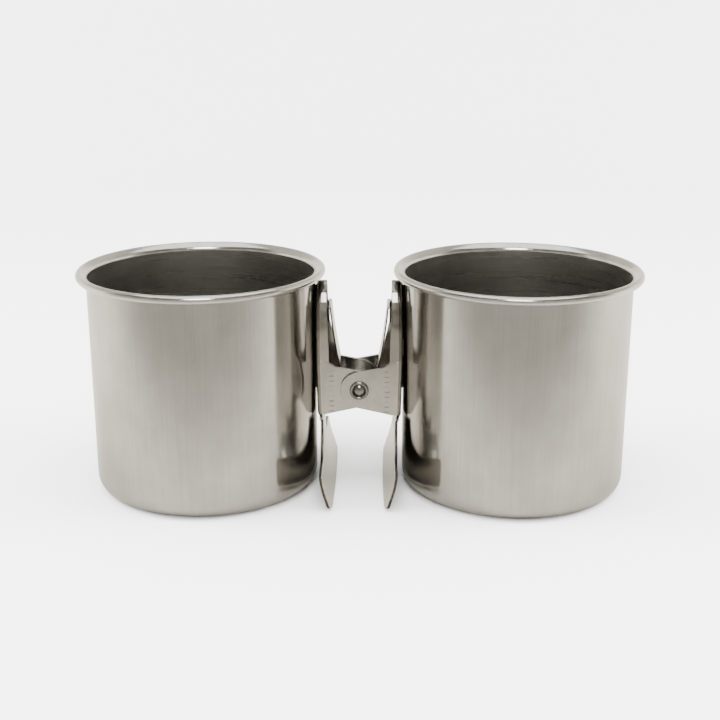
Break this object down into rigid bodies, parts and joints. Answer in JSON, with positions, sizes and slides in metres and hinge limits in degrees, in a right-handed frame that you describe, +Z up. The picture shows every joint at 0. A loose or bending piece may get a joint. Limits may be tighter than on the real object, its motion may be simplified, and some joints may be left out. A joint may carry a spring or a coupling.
{
  "type": "palette cup clip",
  "caption": "Open steel cups for painting medium on a sprung clip; squeezing the levers opens fan shaped jaws that grip a palette or box edge.",
  "frame": {"origin": "on the table under the cups' bases, midway between the two cups", "axes": "+Z up, +X from the left cup to the right cup as seen from the front, -Y towards the viewer; the pivot's axis runs along Y"},
  "size_m": [0.1252, 0.055, 0.0504],
  "materials": {
    "cup_steel": "drawn stainless steel, softly brushed outside, darker inside",
    "clip_steel": "polished stainless sheet",
    "rivet_steel": "bright turned steel",
    "spring_steel": "bright spring strip",
    "weld_grey": "dull, heat tinted weld"
  },
  "bodies": {
    "outer_side": {"right_cup": "cup_steel", "outer_half": "clip_steel", "right_welds": "weld_grey", "pivot_rivet": "rivet_steel", "spacer_sleeve": "rivet_steel", "spring": "spring_steel"},
    "inner_side": {"left_cup": "cup_steel", "inner_half": "clip_steel", "left_welds": "weld_grey"}
  },
  "joints": [
    {"name": "clip_pivot", "type": "hinge", "parent": "outer_side", "child": "inner_side", "pos_m": [0, 0, 0.0234], "axis": [0, 1, 0], "range_deg": [-26.5, 32], "stiffness_Nm_per_rad": 0.2, "deforming": ["spring"]}
  ]
}
